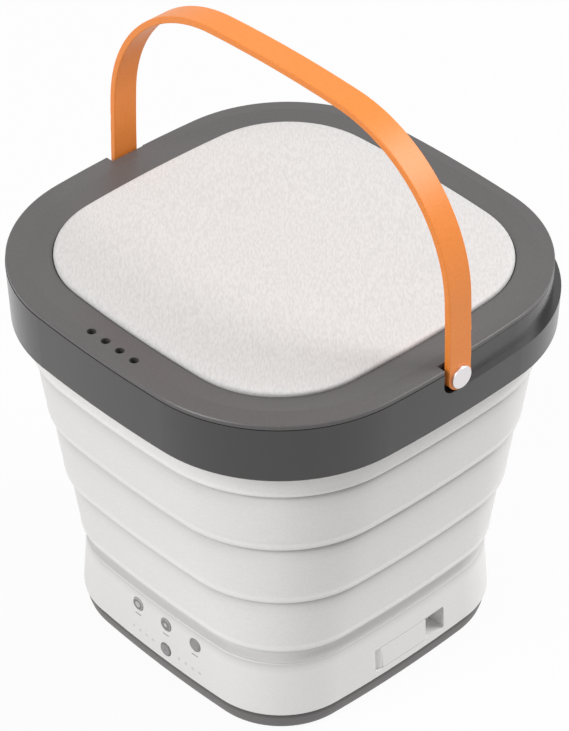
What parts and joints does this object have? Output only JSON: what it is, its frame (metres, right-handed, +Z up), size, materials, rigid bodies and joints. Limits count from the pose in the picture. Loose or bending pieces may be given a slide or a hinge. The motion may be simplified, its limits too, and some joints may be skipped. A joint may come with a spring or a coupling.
{
  "type": "foldable washing machine",
  "caption": "Small bucket-shaped washing machine with a bellows tub that folds flat, lift-off lid, arched carrying handle, spinning pulsator and a fold-out drain spout.",
  "frame": {"origin": "under the middle of the base, on the plane the feet stand on", "axes": "+Z up, -Y towards the controls, +X towards the drain spout"},
  "size_m": [0.2838, 0.2794, 0.3893],
  "materials": {
    "shell_white": "fine satin moulding",
    "foot_grey": "matt moulding",
    "rim_grey": "glossy side, satin top",
    "panel": "pale grained cover over a moulded core",
    "bellows": "soft pale thermoplastic rubber",
    "strap": "satin orange",
    "inner_white": "plain moulding",
    "pulsator": "polished moulding",
    "button": "polished",
    "light": "clear moulded light guide",
    "board": "coated circuit board",
    "switch": "moulded",
    "pivot": "polished cap",
    "steel": "zinc plated",
    "motor_steel": "plated sheet",
    "core_steel": "laminated core",
    "shaft": "ground",
    "brass": "turned",
    "washer": "low friction plastic",
    "black_rubber": "soft",
    "lead": "insulated lead",
    "inlet": "moulded"
  },
  "bodies": {
    "base": {"base_cover": "foot_grey", "rubber_feet": "black_rubber", "base_screws": "steel", "base_shell": "shell_white", "tub_floor": "inner_white", "floor_screws": "steel", "motor_plate": "motor_steel", "motor_screws": "steel", "motor_can": "motor_steel", "motor_stator": "core_steel", "shaft_bearings": "shaft", "shaft_seal": "black_rubber", "control_board": "board", "board_screws": "steel", "button_switches": "switch", "indicator_lights": "light", "power_inlet": "inlet", "inlet_nut": "inlet", "motor_lead": "lead", "inlet_lead": "lead", "drain_housing": "shell_white", "housing_screws": "steel", "drain_tube": "black_rubber", "spout_pin": "steel", "bellows_band_3": "bellows"},
    "middle_band": {"bellows_band_2": "bellows"},
    "upper_band": {"bellows_band_1": "bellows"},
    "top": {"bellows_upper_collar": "bellows", "rim_clamp_ring": "inner_white", "rim_screws": "steel", "rim": "rim_grey", "pivot_inserts": "brass", "pivot_screws": "pivot", "friction_washers": "washer"},
    "handle": {"handle_strap": "strap", "handle_bushes": "brass"},
    "lid": {"lid_frame": "rim_grey", "lid_panel": "panel", "lid_screws": "steel", "lid_liner": "inner_white", "lid_gasket": "black_rubber"},
    "agitator": {"pulsator": "pulsator", "pulsator_cap": "pulsator", "pulsator_screw": "steel", "drive_shaft": "shaft", "motor_rotor": "core_steel"},
    "left_key": {"button_left": "button"},
    "middle_key": {"button_middle": "button"},
    "right_key": {"button_right": "button"},
    "power_key": {"button_power": "button"},
    "spout": {"drain_spout": "shell_white", "spout_seal": "black_rubber"}
  },
  "joints": [
    {"name": "fold_lower", "type": "slide", "parent": "base", "child": "middle_band", "axis": [0, 0, -1], "range_m": [0, 0.045]},
    {"name": "fold_middle", "type": "slide", "parent": "middle_band", "child": "upper_band", "axis": [0, 0, -1], "range_m": [0, 0.045]},
    {"name": "fold_upper", "type": "slide", "parent": "upper_band", "child": "top", "axis": [0, 0, -1], "range_m": [0, 0.045]},
    {"name": "handle_swing", "type": "hinge", "parent": "top", "child": "handle", "pos_m": [0, 0, 0.2495], "axis": [-1, 0, 0], "range_deg": [0, 90]},
    {"name": "lid_lift", "type": "slide", "parent": "top", "child": "lid", "axis": [0, 0, 1], "range_m": [0, 0.04]},
    {"name": "pulsator_spin", "type": "hinge", "parent": "base", "child": "agitator", "pos_m": [0, 0, 0.05], "axis": [0, 0, 1], "continuous": true},
    {"name": "press_left", "type": "slide", "parent": "base", "child": "left_key", "axis": [0, 1, 0], "range_m": [0, 0.0008], "stiffness_N_per_m": 800, "springref_m": -0.0004},
    {"name": "press_middle", "type": "slide", "parent": "base", "child": "middle_key", "axis": [0, 1, 0], "range_m": [0, 0.0008], "stiffness_N_per_m": 800, "springref_m": -0.0004},
    {"name": "press_right", "type": "slide", "parent": "base", "child": "right_key", "axis": [0, 1, 0], "range_m": [0, 0.0008], "stiffness_N_per_m": 800, "springref_m": -0.0004},
    {"name": "press_power", "type": "slide", "parent": "base", "child": "power_key", "axis": [0, 1, 0], "range_m": [0, 0.0008], "stiffness_N_per_m": 800, "springref_m": -0.0004},
    {"name": "spout_swing", "type": "hinge", "parent": "base", "child": "spout", "pos_m": [0.09657, -0.0172, 0.0282], "axis": [0, 0, -1], "range_deg": [0, 90]}
  ],
  "couplings": [
    {"joint": "fold_middle", "follows": "fold_lower", "ratio": 1},
    {"joint": "fold_upper", "follows": "fold_lower", "ratio": 1}
  ]
}
